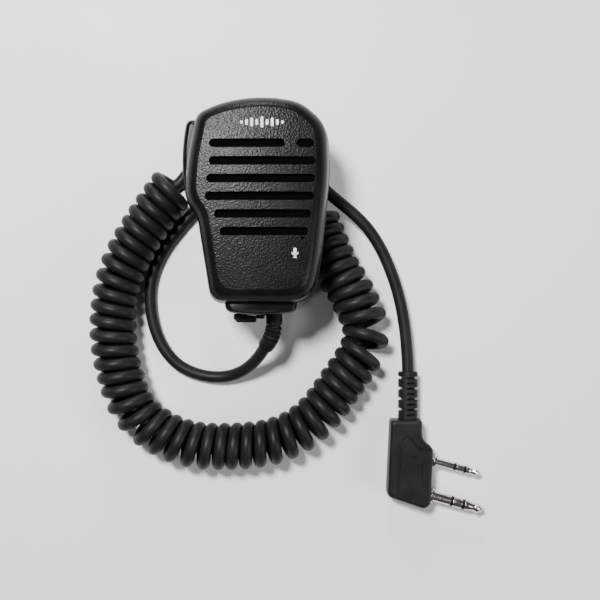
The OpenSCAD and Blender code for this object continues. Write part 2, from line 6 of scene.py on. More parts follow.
import bmesh
import bpy
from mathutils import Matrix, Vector

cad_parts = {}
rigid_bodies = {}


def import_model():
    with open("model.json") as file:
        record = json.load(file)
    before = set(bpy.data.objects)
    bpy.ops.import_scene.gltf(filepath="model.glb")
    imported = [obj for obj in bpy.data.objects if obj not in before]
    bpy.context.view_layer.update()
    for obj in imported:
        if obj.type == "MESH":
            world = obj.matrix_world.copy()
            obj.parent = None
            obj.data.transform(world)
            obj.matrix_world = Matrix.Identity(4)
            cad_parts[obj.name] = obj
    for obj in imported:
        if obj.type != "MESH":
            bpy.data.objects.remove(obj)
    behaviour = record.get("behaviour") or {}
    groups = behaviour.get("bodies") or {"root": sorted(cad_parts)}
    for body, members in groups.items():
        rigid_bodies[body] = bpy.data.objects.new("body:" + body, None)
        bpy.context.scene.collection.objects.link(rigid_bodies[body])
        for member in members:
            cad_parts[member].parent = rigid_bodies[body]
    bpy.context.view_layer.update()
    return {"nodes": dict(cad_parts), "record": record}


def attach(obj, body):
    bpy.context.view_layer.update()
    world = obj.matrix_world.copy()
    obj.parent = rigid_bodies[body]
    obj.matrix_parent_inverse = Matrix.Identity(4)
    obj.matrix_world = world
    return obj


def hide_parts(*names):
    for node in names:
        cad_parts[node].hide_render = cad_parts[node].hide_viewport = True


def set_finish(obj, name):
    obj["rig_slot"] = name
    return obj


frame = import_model()
record = frame["record"]

MM = 0.001
UP = Vector((0, 0, 1))
QUARTER = math.pi / 2
TURN = 2 * math.pi

# ---- camera ----

CAMERA_AT = (14.1, -28.1, 350)
CAMERA_LENS = 61.9

camera_data = bpy.data.cameras.new("camera")
camera_data.lens = CAMERA_LENS
camera_data.sensor_width = 36
camera = bpy.data.objects.new("camera", camera_data)
camera.location = Vector(CAMERA_AT) * MM
bpy.context.scene.collection.objects.link(camera)
bpy.context.scene.camera = camera

# ---- cord ----

WIRE_R = 2.0
COIL_R = 6.1           # from the coil's middle line to the wire's
COIL_Z = WIRE_R + COIL_R
POINTS_PER_TURN = 14
WIRE_GAP = 0.04        # between neighbouring turns on the inside of a bend
CORD_EXIT = (2.9, -43.2, 15)

MIC_ROUTE = [
    CORD_EXIT, (0.6, -47, 11), (-2.8, -50.4, 7), (-7.4, -53.2, 3.6), (-13, -54.4, 2.2), (-19.6, -53.6, 2),
    (-26.2, -51, 2), (-31.4, -45.8, 2), (-35, -38.4, 2), (-36.6, -30, 2), (-36.4, -22, 2), (-34, -14.8, 2),
    (-30.4, -8.8, 2), (-26, -3.4, 2), (-21.4, 1.8, 2), (-16.2, 8, 2), (-10, 13.4, 2), (-2, 16.6, 2),
    (6.4, 16.2, 2), (13, 12.2, 2), (16.8, 6.2, 2)]
COIL_ROUTE = [
    (18.8, 0), (20.6, -4.6), (22.6, -9.6), (24.8, -14.6), (27.2, -19.4), (30.4, -24.4), (33.2, -30),
    (35.4, -35.4), (35.8, -40.4), (34.4, -45.4), (31, -51), (27.4, -56.2), (23.2, -62.2), (18.4, -67.6),
    (12.6, -71.8), (5.4, -74.8), (-2.4, -76.2), (-10.4, -76.6), (-18.4, -76.4), (-25.8, -74.8),
    (-32.6, -71.6), (-38.4, -67.2), (-42.6, -61), (-45.2, -53.6), (-47, -46), (-47.8, -38), (-47.4, -30),
    (-46.2, -22.6), (-43.8, -15.6), (-40.2, -8.6), (-36.2, -2.2), (-32, 4), (-27.8, 9.6)]
PLUG_ROUTE = [
    (-24.8, 13.6, 2), (-20.2, 18.8, 2), (-14.2, 23, 2), (-6.6, 25.6, 2), (1.8, 25.6, 2.2), (9.8, 22.4, 3),
    (15.8, 16.6, 4), (20.4, 10.8, 4.8), (25.6, 5.8, 5.2), (31.2, 1.6, 5.2), (36.4, -3.4, 5),
    (40.4, -9.2, 4.8), (43.6, -16, 4.6), (46.2, -23, 4.5), (48, -30, 4.5), (49.2, -37.2, 4.6),
    (49.9, -44.6, 4.7), (50.2, -50.5, 4.75), (50.2, -54, 4.75)]


def smooth_line(points, step):
    """Points about step apart on a smooth line through the given ones."""
    p = [Vector(q) for q in points]
    p = [p[0] * 2 - p[1]] + p + [p[-1] * 2 - p[-2]]
    line = []
    for a, b, c, d in zip(p, p[1:], p[2:], p[3:]):
        count = max(1, round((c - b).length / step))
        for k in range(count):
            t = k / count
            line.append(0.5 * (2 * b + (c - a) * t + (2 * a - 5 * b + 4 * c - d) * t * t
                               + (3 * b - a - 3 * c + d) * t ** 3))
    return line + [p[-2]]


def coil_points():
    """Centreline of the coil: on the inside of each bend its turns touch, and on the outside they fan out."""
    step = 0.25
    reach = 16         # steps to either side for the bend of the route
    line = smooth_line([(x, y, COIL_Z) for x, y in COIL_ROUTE], step)
    headings = [(b - a).normalized() for a, b in zip(line, line[1:])]
    headings.append(headings[-1])
    last = len(line) - 1
    turns = [0.0]
    for i in range(last):
        a, b = max(0, i - reach), min(last, i + reach)
        bend = headings[a].angle(headings[b]) / (line[b] - line[a]).length
        pitch = (2 * WIRE_R + WIRE_GAP) / (1 - COIL_R * bend)
        turns.append(turns[-1] + (line[i + 1] - line[i]).length / pitch)
    whole = round(turns[-1])
    points = []
    i = 0
    for k in range(whole * POINTS_PER_TURN + 1):
        wanted = k / (whole * POINTS_PER_TURN) * turns[-1]
        while i < last - 1 and turns[i + 1] < wanted:
            i += 1
        t = (wanted - turns[i]) / (turns[i + 1] - turns[i])
        heading = headings[i].lerp(headings[i + 1], t).normalized()
        left = UP.cross(heading)
        angle = -QUARTER - TURN * k / POINTS_PER_TURN
        points.append(line[i].lerp(line[i + 1], t) + COIL_R * (math.cos(angle) * left + math.sin(angle) * UP))
    return points


def curve_piece(name, points, radius, order=4):
    """A round tube along one smooth curve through control points in millimetres."""
    data = bpy.data.curves.new(name, "CURVE")
    data.dimensions = "3D"
    data.bevel_depth = 1
    data.bevel_resolution = 4
    data.use_fill_caps = True
    data.resolution_u = 3
    spline = data.splines.new("NURBS")
    spline.points.add(len(points) - 1)
    for point, place in zip(spline.points, points):
        point.co = (*(Vector(place) * MM), 1)
        point.radius = radius * MM
    spline.order_u = order
    spline.use_endpoint_u = True
    piece = bpy.data.objects.new(name, data)
    bpy.context.scene.collection.objects.link(piece)
    return piece


def length_of(points):
    return sum((b - a).length for a, b in zip(points, points[1:]))


cord_line = [Vector(p) for p in MIC_ROUTE] + coil_points() + [Vector(p) for p in PLUG_ROUTE]
cord = curve_piece("curly_cord", cord_line, WIRE_R)
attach(cord, "root")
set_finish(cord, "cord_jacket")
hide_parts("mic_lead", "cord_coil", "plug_lead")

# ---- meshes ----

FACE_CORNERS = [(-13.8, -29.2, 4.5), (18.2, -29.4, 8), (20.9, -15, 6), (23.7, 12, 9), (22.8, 26.3, 7),
                (14.5, 33.4, 7), (2.5, 35.4, 14), (-10.5, 33.2, 8), (-18.2, 29.6, 4), (-21.5, 13, 7),
                (-21.7, 2.6, 3), (-17.9, -2.8, 2.5), (-16.2, -14, 5)]
BACK_CORNERS = [(-10, -27, 4), (11, -27, 4), (12, -15, 5), (12, 6, 5), (15.2, 25.6, 5), (10.4, 31.6, 5),
                (1.4, 33, 10), (-8.6, 31.6, 5), (-14, 28, 4), (-13, 13, 6), (-13, 2.6, 3), (-12, -2.8, 2.5),
                (-11, -14, 5)]
COLLAR_CORNERS = [(-9.8, -26.5, 0.5), (-9.2, -31.8, 2), (2.4, -33.4, 8), (12.8, -32, 2), (13.4, -26.5, 0.5)]
PLUG_CORNERS = [(42.9, -93.2, 1.5), (55.6, -97.6, 2), (57.5, -95.6, 1), (58.4, -77.2, 1.5),
                (54.7, -74.4, 2), (54.6, -67.8, 0.8), (44.1, -67.8, 1)]


def inset(corners, d):
    """Corners of an anticlockwise outline, moved in by d."""
    moved = []
    for i, corner in enumerate(corners):
        p = Vector(corner[:2])
        a = (p - Vector(corners[i - 1][:2])).normalized()
        b = (Vector(corners[(i + 1) % len(corners)][:2]) - p).normalized()
        na, nb = Vector((-a.y, a.x)), Vector((-b.y, b.x))
        p += d * (na + nb) / (1 + na.dot(nb))
        moved.append((p.x, p.y, corner[2]))
    return moved


def soften(corners, steps=9):
    """Points of an outline with every corner rounded, as the CAD part rounds it."""
    def room(p, q):
        return min(1, 0.96 * (Vector(q[:2]) - Vector(p[:2])).length / (p[2] + q[2]))
    outline = []
    for i, corner in enumerate(corners):
        before, after = corners[i - 1], corners[(i + 1) % len(corners)]
        cut = corner[2] * min(room(corner, before), room(corner, after))
        p = Vector(corner[:2])
        a = p + (Vector(before[:2]) - p).normalized() * cut
        b = p + (Vector(after[:2]) - p).normalized() * cut
        for k in range(steps + 1):
            t = k / steps
            outline.append((1 - t) ** 2 * a + 2 * t * (1 - t) * p + t * t * b)
    return outline


def ring(outline, z):
    return [Vector((p.x, p.y, z)) for p in outline]


def mesh_piece(name, points, faces, sharp=35):
    """A smooth-shaded mesh, from points in millimetres."""
    data = bpy.data.meshes.new(name)
    data.from_pydata([Vector(p) * MM for p in points], [], faces)
    tidy = bmesh.new()
    tidy.from_mesh(data)
    bmesh.ops.recalc_face_normals(tidy, faces=tidy.faces)
    tidy.to_mesh(data)
    tidy.free()
    data.shade_smooth()
    data.set_sharp_from_angle(angle=math.radians(sharp))
    piece = bpy.data.objects.new(name, data)
    bpy.context.scene.collection.objects.link(piece)
    return piece


def loft(name, rings, sharp=35, closed=False):
    """A skin through rings of points: capped at both ends, or closed on itself."""
    n, m = len(rings[0]), len(rings)
    faces = [(j * n + i, j * n + (i + 1) % n, (j + 1) % m * n + (i + 1) % n, (j + 1) % m * n + i)
             for j in range(m if closed else m - 1) for i in range(n)]
    if not closed:
        faces += [tuple(range(n))[::-1], tuple(range((m - 1) * n, m * n))]
    return mesh_piece(name, [p for r in rings for p in r], faces, sharp)


def block(name, low, high):
    x, y, z = zip(low, high)
    plan = ((x[0], y[0]), (x[1], y[0]), (x[1], y[1]), (x[0], y[1]))
    return loft(name, [[Vector((*corner, v)) for corner in plan] for v in z])


def rod(name, a, b, radii, sides=32):
    """A turned piece from a to b, with (share of the way, radius) pairs."""
    a, b = Vector(a), Vector(b)
    side = (b - a).orthogonal().normalized()
    other = (b - a).normalized().cross(side)
    rings = [[a.lerp(b, t) + r * (math.cos(TURN * k / sides) * side + math.sin(TURN * k / sides) * other)
              for k in range(sides)] for t, r in radii]
    return loft(name, rings)


def combine(piece, operation, tools, sharp=35):
    """Cuts tools out of a piece or joins them to it, and removes them."""
    for tool in tools:
        step = piece.modifiers.new("step", "BOOLEAN")
        step.operation = operation
        step.solver = "EXACT"
        step.object = tool
    bpy.context.view_layer.update()
    shape = bpy.data.meshes.new_from_object(piece.evaluated_get(bpy.context.evaluated_depsgraph_get()))
    piece.modifiers.clear()
    piece.data = shape
    for tool in tools:
        bpy.data.objects.remove(tool)
    shape.shade_smooth()
    shape.set_sharp_from_angle(angle=math.radians(sharp))
    level = piece.modifiers.new("level", "WEIGHTED_NORMAL")
    level.keep_sharp = True
    return piece


# ---- front shell ----

RIM_Z = 25.2
FACE_Z = 39
WALL = 1.8
CEILING_Z = FACE_Z - WALL
SLOT_H = 2.3
SLOT_Y0 = 19.4
SLOT_PITCH = 5.35
# How far a slot's rounded lip stands out at each depth below the face
SLOT_LIP = ((0.4, 0), (0.2, 0.03), (0.09, 0.08), (0.01, 0.17), (-0.05, 0.3))
END_STEPS = 10
SIDE_STEPS = 12
SLOTS = [(-13.3, 9.3), (-13.3, 18.6), (-14.1, 18.6), (-14.5, 18.3), (-11.7, 17.4), (-10, 16.5)]
SHORT_SLOT = (13.2, 18.3)
MIC_AT = (14.8, -9.3)
DOME_MIDDLE = Vector((1, 2))
DOME_REACH = Vector((23, 33))    # from the middle to the sides and to the ends
DOME_DROP = 1.3                  # fall of the face over that reach
DOME_FROM = 31                   # the walls below this height are straight
DOME_RINGS = 12
NEARLY_FLAT = 0.985
# Height and inset of the outside, from the rim over the shoulder to the domed face
FRONT_PROFILE = [(RIM_Z, 0.15), (25.4, 0), (26.4, 0), (26.7, 0.22), (30, 0.3), (33, 0.5), (35, 0.85),
                 (36.4, 1.35), (37.4, 1.95), (38.1, 2.6), (38.5, 3.2), (38.75, 3.8), (38.9, 4.4),
                 (38.97, 4.9), (FACE_Z, 5.5)]
FACE_INSET = FRONT_PROFILE[-1][1]
CEILING_INSET = 4.4
MIC_HOLE_R = 0.5


def domed(points):
    """Points of the front moved down where the face falls away from its middle."""
    for p in points:
        x, y = (p.x - DOME_MIDDLE.x) / DOME_REACH.x, (p.y - DOME_MIDDLE.y) / DOME_REACH.y
        p.z -= DOME_DROP * (x * x + y * y) * min(1, max(0, (p.z - DOME_FROM) / (CEILING_Z - DOME_FROM)))
    return points


def drawn_in(outline, share, z):
    """An outline drawn in towards the middle of the face."""
    return [Vector((*DOME_MIDDLE.lerp(p, share), z)) for p in outline]


def smooth_face(piece):
    """Gives the cut face the shading of the whole dome, whatever the shapes of its polygons."""
    piece.modifiers.clear()
    data = piece.data
    normals = [Vector(corner.vector) for corner in data.corner_normals]
    for polygon in data.polygons:
        for corner, vertex in zip(polygon.loop_indices, polygon.vertices):
            p = data.vertices[vertex].co / MM
            rise = Vector((2 * DOME_DROP * (p.x - DOME_MIDDLE.x) / DOME_REACH.x ** 2,
                           2 * DOME_DROP * (p.y - DOME_MIDDLE.y) / DOME_REACH.y ** 2, 1)).normalized()
            if rise.dot(polygon.normal) > NEARLY_FLAT:
                normals[corner] = rise
    data.normals_split_custom_set(normals)


def slot_cutter(x0, x1, y):
    """A long slot with a rounded lip."""
    left, right = x0 + SLOT_H / 2, x1 - SLOT_H / 2

    def stadium(grow, z):
        r = SLOT_H / 2 + grow
        points = []
        for a, b, start in ((right, left, -QUARTER), (left, right, QUARTER)):
            for k in range(END_STEPS + 1):
                angle = start + math.pi * k / END_STEPS
                points.append(Vector((a + r * math.cos(angle), y + r * math.sin(angle), z)))
            points += [Vector((a + (b - a) * k / SIDE_STEPS, points[-1].y, z)) for k in range(1, SIDE_STEPS)]
        return points

    lips = [domed(stadium(grow, FACE_Z - deep)) for deep, grow in SLOT_LIP]
    return loft("cutter", [stadium(0, CEILING_Z - 3)] + lips + [stadium(0.5, FACE_Z + 1)])


front_rings = [domed(ring(soften(inset(FACE_CORNERS, d)), z)) for z, d in FRONT_PROFILE]
front_edge = soften(inset(FACE_CORNERS, FACE_INSET))
front_dome = [domed(drawn_in(front_edge, 1 - k / DOME_RINGS, FACE_Z)) for k in range(1, DOME_RINGS)]
inner_rings = [domed(ring(soften(inset(FACE_CORNERS, d)), z))
               for z, d in ((CEILING_Z, CEILING_INSET), (35.4, 3.0), (33, 2.4), (RIM_Z, WALL))]
inner_edge = soften(inset(FACE_CORNERS, CEILING_INSET))
inner_dome = [domed(drawn_in(inner_edge, k / DOME_RINGS, CEILING_Z)) for k in range(1, DOME_RINGS)]
front = loft("front_shell_skin", inner_dome + inner_rings + front_rings + front_dome)
cutters = [slot_cutter(x0, x1, SLOT_Y0 - i * SLOT_PITCH) for i, (x0, x1) in enumerate(SLOTS)]
cutters.append(slot_cutter(*SHORT_SLOT, SLOT_Y0))
cutters.append(rod("cutter", (*MIC_AT, CEILING_Z - 1), (*MIC_AT, FACE_Z + 0.5),
                   ((0, MIC_HOLE_R), (0.7, MIC_HOLE_R), (1, 0.9)), 20))
combine(front, "DIFFERENCE", cutters)
smooth_face(front)
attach(front, "root")
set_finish(front, "casing")
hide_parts("front_shell")

COLLAR_PROFILE = [(RIM_Z, 0.1), (25.4, 0), (26.3, 0), (26.6, 0.2), (30.2, 0.35), (30.7, 0.6), (31, 1)]
front_collar = loft("front_collar", [ring(soften(inset(COLLAR_CORNERS, d)), z) for z, d in COLLAR_PROFILE])
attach(front_collar, "root")
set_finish(front_collar, "casing")

# ---- rear shell ----

BACK_Z = 13
REAR_RIM_Z = 24.8
BAY_X = -16.2
BAY_Y = (2.9, 29.8)
BAY_Z = (16.3, 23.9)
COLLAR_Z = 14.6
JACK_AT = (-3.4, 19)
BOOT_AT = (5.8, 19)
SCREWS = ((-8, 26.6), (10, 26.6), (-8, -14.5), (8.5, -14.5))
# Share of the depth, share of the way from the joint's outline to the back's, and rounding of the edge
REAR_PROFILE = [(0, 0, 0), (0.22, 0.05, 0), (0.42, 0.16, 0), (0.55, 0.29, 0), (0.66, 0.46, 0),
                (0.76, 0.66, 0), (0.85, 0.84, 0), (0.92, 0.94, 0), (0.97, 1, 0.1), (1, 1, 0.7)]


def rear_ring(d, share, trim, gap, depth):
    a, b = soften(inset(FACE_CORNERS, gap + trim)), soften(inset(BACK_CORNERS, gap + trim))
    return [Vector((*p.lerp(q, share), REAR_RIM_Z - depth * d)) for p, q in zip(a, b)]


depth = REAR_RIM_Z - BACK_Z
rear = loft("rear_shell_skin", [rear_ring(*row, 0, depth) for row in reversed(REAR_PROFILE)]
            + [rear_ring(*row, WALL, depth - WALL) for row in REAR_PROFILE[:-1]])
rear_collar = loft("tool", [ring(soften(inset(COLLAR_CORNERS, d)), z) for z, d in (
    (COLLAR_Z, 1.2), (COLLAR_Z + 0.3, 0.6), (COLLAR_Z + 1, 0.15), (COLLAR_Z + 1.8, 0), (REAR_RIM_Z - 0.2, 0),
    (REAR_RIM_Z, 0.15))])
bay_wall = loft("tool", [[Vector((x, y, z)) for x, y in (
    (BAY_X + 1.5, BAY_Y[0] - 1.5), (BAY_X + 1.5, BAY_Y[1] + 1.5), (BAY_X - 0.3, BAY_Y[1] + 1.5), (-20.4, 22),
    (-20.9, 4), (-20.2, BAY_Y[0] - 1.5))] for z in (BAY_Z[0] - 1.3, REAR_RIM_Z - 0.1)])
combine(rear, "UNION", [rear_collar, bay_wall])
tools = [block("tool", (-30, BAY_Y[0], BAY_Z[0]), (BAY_X, BAY_Y[1], BAY_Z[1])),
         block("tool", (-7.2, -31, 15.2), (0.4, -17.8, 26)), block("tool", (2, -30.4, 15.4), (9.6, -20, 26))]
for x, z in (JACK_AT, BOOT_AT):
    tools.append(rod("tool", (x, -36, z), (x, -29.9, z), ((0, 2.9), (1, 2.9))))
for x, y in SCREWS:
    tools.append(rod("tool", (x, y, BACK_Z - 2), (x, y, 21), ((0, 2.2), (1, 2.2))))
combine(rear, "DIFFERENCE", tools)
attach(rear, "root")
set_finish(rear, "casing")
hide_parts("rear_shell")

# ---- push-to-talk bar ----

BAR_CORNERS = [(-17.7, 3.4, 0.8), (-17.7, 29.4, 0.8), (-22.1, 29.4, 2), (-23.6, 21.4, 6), (-23.5, 9.4, 5),
               (-22.1, 3.4, 1.6)]
BAR_PROFILE = [(16.8, 1.5), (17, 0.9), (17.5, 0.4), (18.3, 0.1), (20.6, 0.1), (21.6, 0.22), (22.4, 0.5),
               (23, 0.95), (23.3, 1.5), (23.4, 2)]
GRIP_AT = (-24.4, 12)
GRIP_PITCH = 1.5
GRIP_R = 1.05
bar = loft("talk_bar", [ring(soften(inset(BAR_CORNERS, d)), z) for z, d in BAR_PROFILE])
grips = []
for k in range(7):
    x, y = GRIP_AT[0], GRIP_AT[1] + GRIP_PITCH * k
    grips.append(rod("tool", (x, y, 16), (x, y, 24), ((0, GRIP_R), (1, GRIP_R)), 20))
combine(bar, "DIFFERENCE", grips)
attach(bar, "ptt")
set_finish(bar, "casing")
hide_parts("ptt_button")

# ---- earphone cover and microphone felt ----

COVER_CORNERS = [(-7, -35.2, 0.8), (0.05, -35.3, 0.8), (0.05, -33.25, 0.3), (-7, -32.5, 0.3)]
COVER_PROFILE = [(15.8, 0.5), (16, 0.2), (16.5, 0), (21.5, 0), (22, 0.2), (22.2, 0.5)]
cover = loft("earphone_cover", [ring(soften(inset(COVER_CORNERS, d)), z) for z, d in COVER_PROFILE])
NAIL_NOTCH_AT = (-7.5, -35.6)
NAIL_NOTCH_R = 1.5
combine(cover, "DIFFERENCE", [rod("tool", (*NAIL_NOTCH_AT, 14), (*NAIL_NOTCH_AT, 24),
                                  ((0, NAIL_NOTCH_R), (1, NAIL_NOTCH_R)), 24)])
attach(cover, "cover")
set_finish(cover, "rubber")
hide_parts("jack_cover")

STRAP_CORNERS = [(0.1, -34, 0.2), (2.6, -34.1, 0.5), (2.9, -32.4, 0.3), (0.1, -32.6, 0.2)]
strap = loft("cover_strap", [ring(soften(inset(STRAP_CORNERS, d)), z) for z, d in (
    (17, 0.3), (17.3, 0), (20.7, 0), (21, 0.3))])
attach(strap, "root")
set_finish(strap, "rubber")
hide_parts("jack_cover_strap")

felt = rod("microphone_felt", (*MIC_AT, 37.25), (*MIC_AT, 37.5), ((0, 0.49), (0.8, 0.49), (1, 0.4)))
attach(felt, "root")
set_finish(felt, "grille_fabric")


# ---- cord boot ----

def swept(name, line, radii, sides=28):
    """A round piece along a line of close points, with one radius for each of them."""
    side = UP.cross(line[1] - line[0]).normalized()
    rings = []
    for i, p in enumerate(line):
        heading = (line[min(i + 1, len(line) - 1)] - line[max(i - 1, 0)]).normalized()
        side = (side - side.dot(heading) * heading).normalized()
        other = heading.cross(side)
        rings.append([p + radii[i] * (math.cos(TURN * k / sides) * side + math.sin(TURN * k / sides) * other)
                      for k in range(sides)])
    return loft(name, rings)


BOOT_ROUTE = [(5.8, -30, 19), (5.8, -35.2, 19), (5.6, -37.4, 18.6), (5, -39.6, 17.8), (4.1, -41.5, 16.6),
              CORD_EXIT]
BOOT_STEP = 0.12
SLEEVE_TO = 5.6          # end of the plain sleeve, along the boot
RIBS_TO = 11.2           # end of the ribbed part
RIB_PITCH = 1.4
RIB_DEPTH = 0.35
BOOT_R = 2.62
BOOT_END = 0.4           # length of its rounded end


def boot_radius(at, whole):
    """Radius of the boot at that distance along it: a plain sleeve, steep ribs and a plain end."""
    if at < SLEEVE_TO:
        return BOOT_R
    if at < RIBS_TO:
        return 2.3 + RIB_DEPTH * min(1, max(-1, 2.5 * math.cos(TURN * (at - SLEEVE_TO) / RIB_PITCH)))
    if at < whole - BOOT_END:
        return BOOT_R
    return BOOT_R - 1.6 * (at - whole + BOOT_END) ** 1.5


boot_line = smooth_line(BOOT_ROUTE, BOOT_STEP)
travelled = [0.0]
for a, b in zip(boot_line, boot_line[1:]):
    travelled.append(travelled[-1] + (b - a).length)
boot = swept("cord_boot", boot_line, [boot_radius(at, travelled[-1]) for at in travelled])
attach(boot, "root")
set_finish(boot, "rubber")
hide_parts("handset_boot")

# ---- slotted strain relief ----

RELIEF_X = 50.2
RELIEF_Y = (-67.8, -52)
RELIEF_R = 3.3
PLUG_T = 9.5
FIRST_SLOT_Y = RELIEF_Y[1] - 2.1
SIDE_SLOT = 3.5        # pitch of the deep slots on both sides
SIDE_SLOT_W = 0.5      # half the width of one of them
FACE_SLOT = 1.75       # pitch of the shallow slots on both faces
FACE_SLOT_W = 0.35
FACE_SLOT_Z = 1.9      # from the middle of the relief to the floor of a shallow slot
relief = rod("plug_relief", (RELIEF_X, RELIEF_Y[0], PLUG_T / 2), (RELIEF_X, RELIEF_Y[1], PLUG_T / 2),
             ((0, RELIEF_R), (0.97, RELIEF_R), (0.99, RELIEF_R - 0.15), (1, RELIEF_R - 0.4)), 40)
slots = []
for k in range(4):
    y = FIRST_SLOT_Y - k * SIDE_SLOT
    for low, high in ((RELIEF_X + 2, RELIEF_X + 4), (RELIEF_X - 4, RELIEF_X - 2.1)):
        slots.append(block("tool", (low, y - SIDE_SLOT_W, 0), (high, y + SIDE_SLOT_W, PLUG_T)))
for k in range(8):
    y = FIRST_SLOT_Y - k * FACE_SLOT
    left, right = RELIEF_X - 0.6, RELIEF_X + (2.1 if k % 2 else 1.7)
    for low, high in ((PLUG_T / 2 + FACE_SLOT_Z, PLUG_T), (0, PLUG_T / 2 - FACE_SLOT_Z)):
        slots.append(block("tool", (left, y - FACE_SLOT_W, low), (right, y + FACE_SLOT_W, high)))
combine(relief, "DIFFERENCE", slots)
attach(relief, "root")
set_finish(relief, "rubber")
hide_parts("plug_strain_relief")

# ---- plug body ----

PLUG_PROFILE = [(0, 1.3), (0.15, 0.8), (0.5, 0.4), (1.1, 0.12), (PLUG_T / 2, 0), (PLUG_T - 1.1, 0.12),
                (PLUG_T - 0.5, 0.4), (PLUG_T - 0.15, 0.8), (PLUG_T, 1.3)]
GROOVE = [(45.4, -99), (46, -93.4), (47.1, -81), (47.8, -76.4), (48.8, -74.4), (50.1, -73.8), (51.4, -74.8),
          (52.6, -76.4), (54.4, -77.6), (56.8, -78), (60, -78.2)]
GROOVE_R = 0.42
PANEL_CORNERS = [(48.8, -90.6, 1.6), (54.4, -91.4, 1.6), (54.9, -80.2, 1.6), (49.3, -79.4, 1.6)]
plug = loft("plug_shell", [ring(soften(inset(PLUG_CORNERS, d)), z) for z, d in PLUG_PROFILE])
groove_line = smooth_line([(x, y, PLUG_T + 0.1) for x, y in GROOVE], 0.5)
groove = swept("tool", groove_line, [GROOVE_R] * len(groove_line), 12)
panel = loft("tool", [ring(soften(inset(PANEL_CORNERS, d)), z)
                      for z, d in ((PLUG_T - 0.18, 0.3), (PLUG_T + 0.05, 0), (PLUG_T + 1, 0))])
combine(plug, "DIFFERENCE", [groove, panel])
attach(plug, "root")
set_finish(plug, "plug_plastic")
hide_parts("plug_body")

# ---- printed marks ----

PRINT_T = 0.03
BAR_MARK_AT = (2.6, 25.7)
BAR_MARK = (0.9, 1.7, 2.6, 1.7, 3.3, 1.7, 2.6, 1.7, 0.9)
BAR_PITCH = 1.55
MIC_MARK_AT = (12.6, -13.6)


def printed(name, outline):
    """A thin film of print that lies on the domed face."""
    return loft(name, [domed(ring(outline, FACE_Z - PRINT_T)), domed(ring(outline, FACE_Z + PRINT_T))])


def pill(x, y, w, h):
    """An upright rounded bar."""
    a, b, r = w / 2, h / 2, w / 2.2
    return soften([(x - a, y - b, r), (x + a, y - b, r), (x + a, y + b, r), (x - a, y + b, r)], 5)


marks = [printed("level_bar_%d" % k, pill(BAR_MARK_AT[0] + (k - 4) * BAR_PITCH, BAR_MARK_AT[1], 0.8, h))
         for k, h in enumerate(BAR_MARK)]
mx, my = MIC_MARK_AT
arc_angles = [math.radians(a) for a in range(180, 361, 15)]
arc = [Vector((mx + r * math.cos(a), my + r * math.sin(a)))
       for r, angles in ((1.05, arc_angles), (0.8, arc_angles[::-1])) for a in angles]
marks += [printed("mark_capsule", pill(mx, my + 0.35, 0.95, 1.8)), printed("mark_arc", arc),
          printed("mark_stem", pill(mx, my - 1.3, 0.28, 0.55)),
          printed("mark_foot", pill(mx, my - 1.6, 1.1, 0.3))]
for mark in marks:
    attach(mark, "root")

# ---- finish ----


class Num:
    """A number in a shader. Sums of such numbers are drawn as Math nodes."""

    def __init__(self, look, socket):
        self.look = look
        self.socket = socket

    def math(self, operation, a, b):
        made = self.look.node("ShaderNodeMath", {"operation": operation}, {0: a, 1: b})
        return Num(self.look, made.outputs[0])

    def __add__(self, other):
        return self.math("ADD", self, other)

    def __sub__(self, other):
        return self.math("SUBTRACT", self, other)

    def __rsub__(self, other):
        return self.math("SUBTRACT", other, self)

    def __mul__(self, other):
        return self.math("MULTIPLY", self, other)

    def at_most(self, other):
        return self.math("MINIMUM", self, other)

    def at_least(self, other):
        return self.math("MAXIMUM", self, other)

    __radd__ = __add__
    __rmul__ = __mul__

    def ramp(self, low, high):
        """0 below low, 1 above high."""
        return ((self - low) * (1 / (high - low))).at_least(0).at_most(1)


